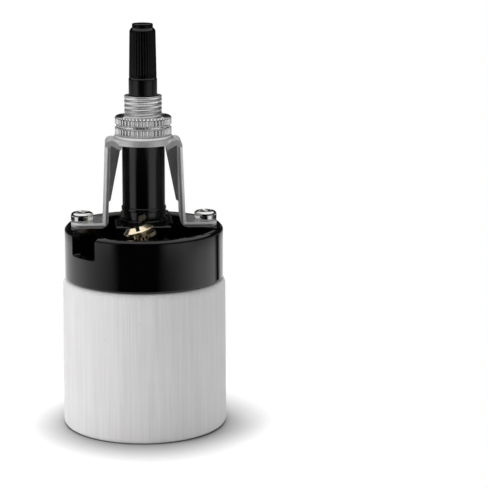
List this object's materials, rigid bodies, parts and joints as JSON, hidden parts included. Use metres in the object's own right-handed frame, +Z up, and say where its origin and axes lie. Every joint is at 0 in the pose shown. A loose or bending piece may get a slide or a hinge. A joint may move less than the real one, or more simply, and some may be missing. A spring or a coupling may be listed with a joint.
{
  "type": "turn knob lamp socket",
  "caption": "Porcelain screw-base lamp socket with a black rotary switch housing, turn knob on a long neck, threaded nipple with knurled ring nut and a steel bracket.",
  "frame": {"origin": "centre of the mouth's rim, on the surface that the socket stands on", "axes": "+Z up the socket's axis from the mouth to the knob, X through the bracket's two feet, -Y the front with the brass terminal screw"},
  "size_m": [0.0386, 0.0386, 0.0944],
  "materials": {
    "porcelain_body": "matt, unglazed",
    "screw_shell": "satin",
    "shell_rivet_right": "dull",
    "shell_rivet_left": "dull",
    "contact_rivet": "dull",
    "centre_contact": "satin copper",
    "switch_housing": "gloss",
    "switch_neck": "gloss",
    "neck_clip": "bright, nickel plated",
    "threaded_nipple": "bright turned",
    "ring_nut": "bright turned",
    "mounting_bracket": "satin, zinc plated",
    "bracket_screw_left": "bright, nickel plated",
    "bracket_screw_right": "bright, nickel plated",
    "knob": "gloss",
    "spindle": "satin, zinc plated",
    "rotor": "matt",
    "bridge_blade": "satin copper",
    "index_spring": "satin, zinc plated",
    "load_contact": "satin copper",
    "line_contact": "bright",
    "neutral_strap": "bright, nickel plated",
    "hot_plate": "bright",
    "hot_washer": "bright",
    "hot_screw": "bright",
    "neutral_plate": "bright, nickel plated",
    "neutral_washer": "bright, nickel plated",
    "neutral_screw": "bright, nickel plated"
  },
  "bodies": {
    "socket": {"porcelain_body": "porcelain_body", "screw_shell": "screw_shell", "shell_rivet_right": "shell_rivet_right", "shell_rivet_left": "shell_rivet_left", "contact_rivet": "contact_rivet", "centre_contact": "centre_contact", "switch_housing": "switch_housing", "switch_neck": "switch_neck", "neck_clip": "neck_clip", "threaded_nipple": "threaded_nipple", "mounting_bracket": "mounting_bracket", "bracket_screw_left": "bracket_screw_left", "bracket_screw_right": "bracket_screw_right", "index_spring": "index_spring", "load_contact": "load_contact", "line_contact": "line_contact", "neutral_strap": "neutral_strap", "hot_plate": "hot_plate", "hot_washer": "hot_washer", "neutral_plate": "neutral_plate", "neutral_washer": "neutral_washer"},
    "turn_knob": {"knob": "knob", "spindle": "spindle", "rotor": "rotor", "bridge_blade": "bridge_blade"},
    "nut": {"ring_nut": "ring_nut"},
    "hot_terminal_screw": {"hot_screw": "hot_screw"},
    "neutral_terminal_screw": {"neutral_screw": "neutral_screw"}
  },
  "joints": [
    {"name": "knob_turn", "type": "hinge", "parent": "socket", "child": "turn_knob", "pos_m": [0, 0, 0.082], "axis": [0, 0, 1], "continuous": true},
    {"name": "ring_nut_turn", "type": "hinge", "parent": "socket", "child": "nut", "pos_m": [0, 0, 0.071], "axis": [0, 0, 1], "continuous": true},
    {"name": "hot_screw_turn", "type": "hinge", "parent": "socket", "child": "hot_terminal_screw", "pos_m": [-0.00065, -0.0105, 0.045], "axis": [-0.2924, 0, 0.9563], "continuous": true},
    {"name": "neutral_screw_turn", "type": "hinge", "parent": "socket", "child": "neutral_terminal_screw", "pos_m": [0.00065, 0.0105, 0.045], "axis": [0.2924, 0, 0.9563], "continuous": true}
  ]
}
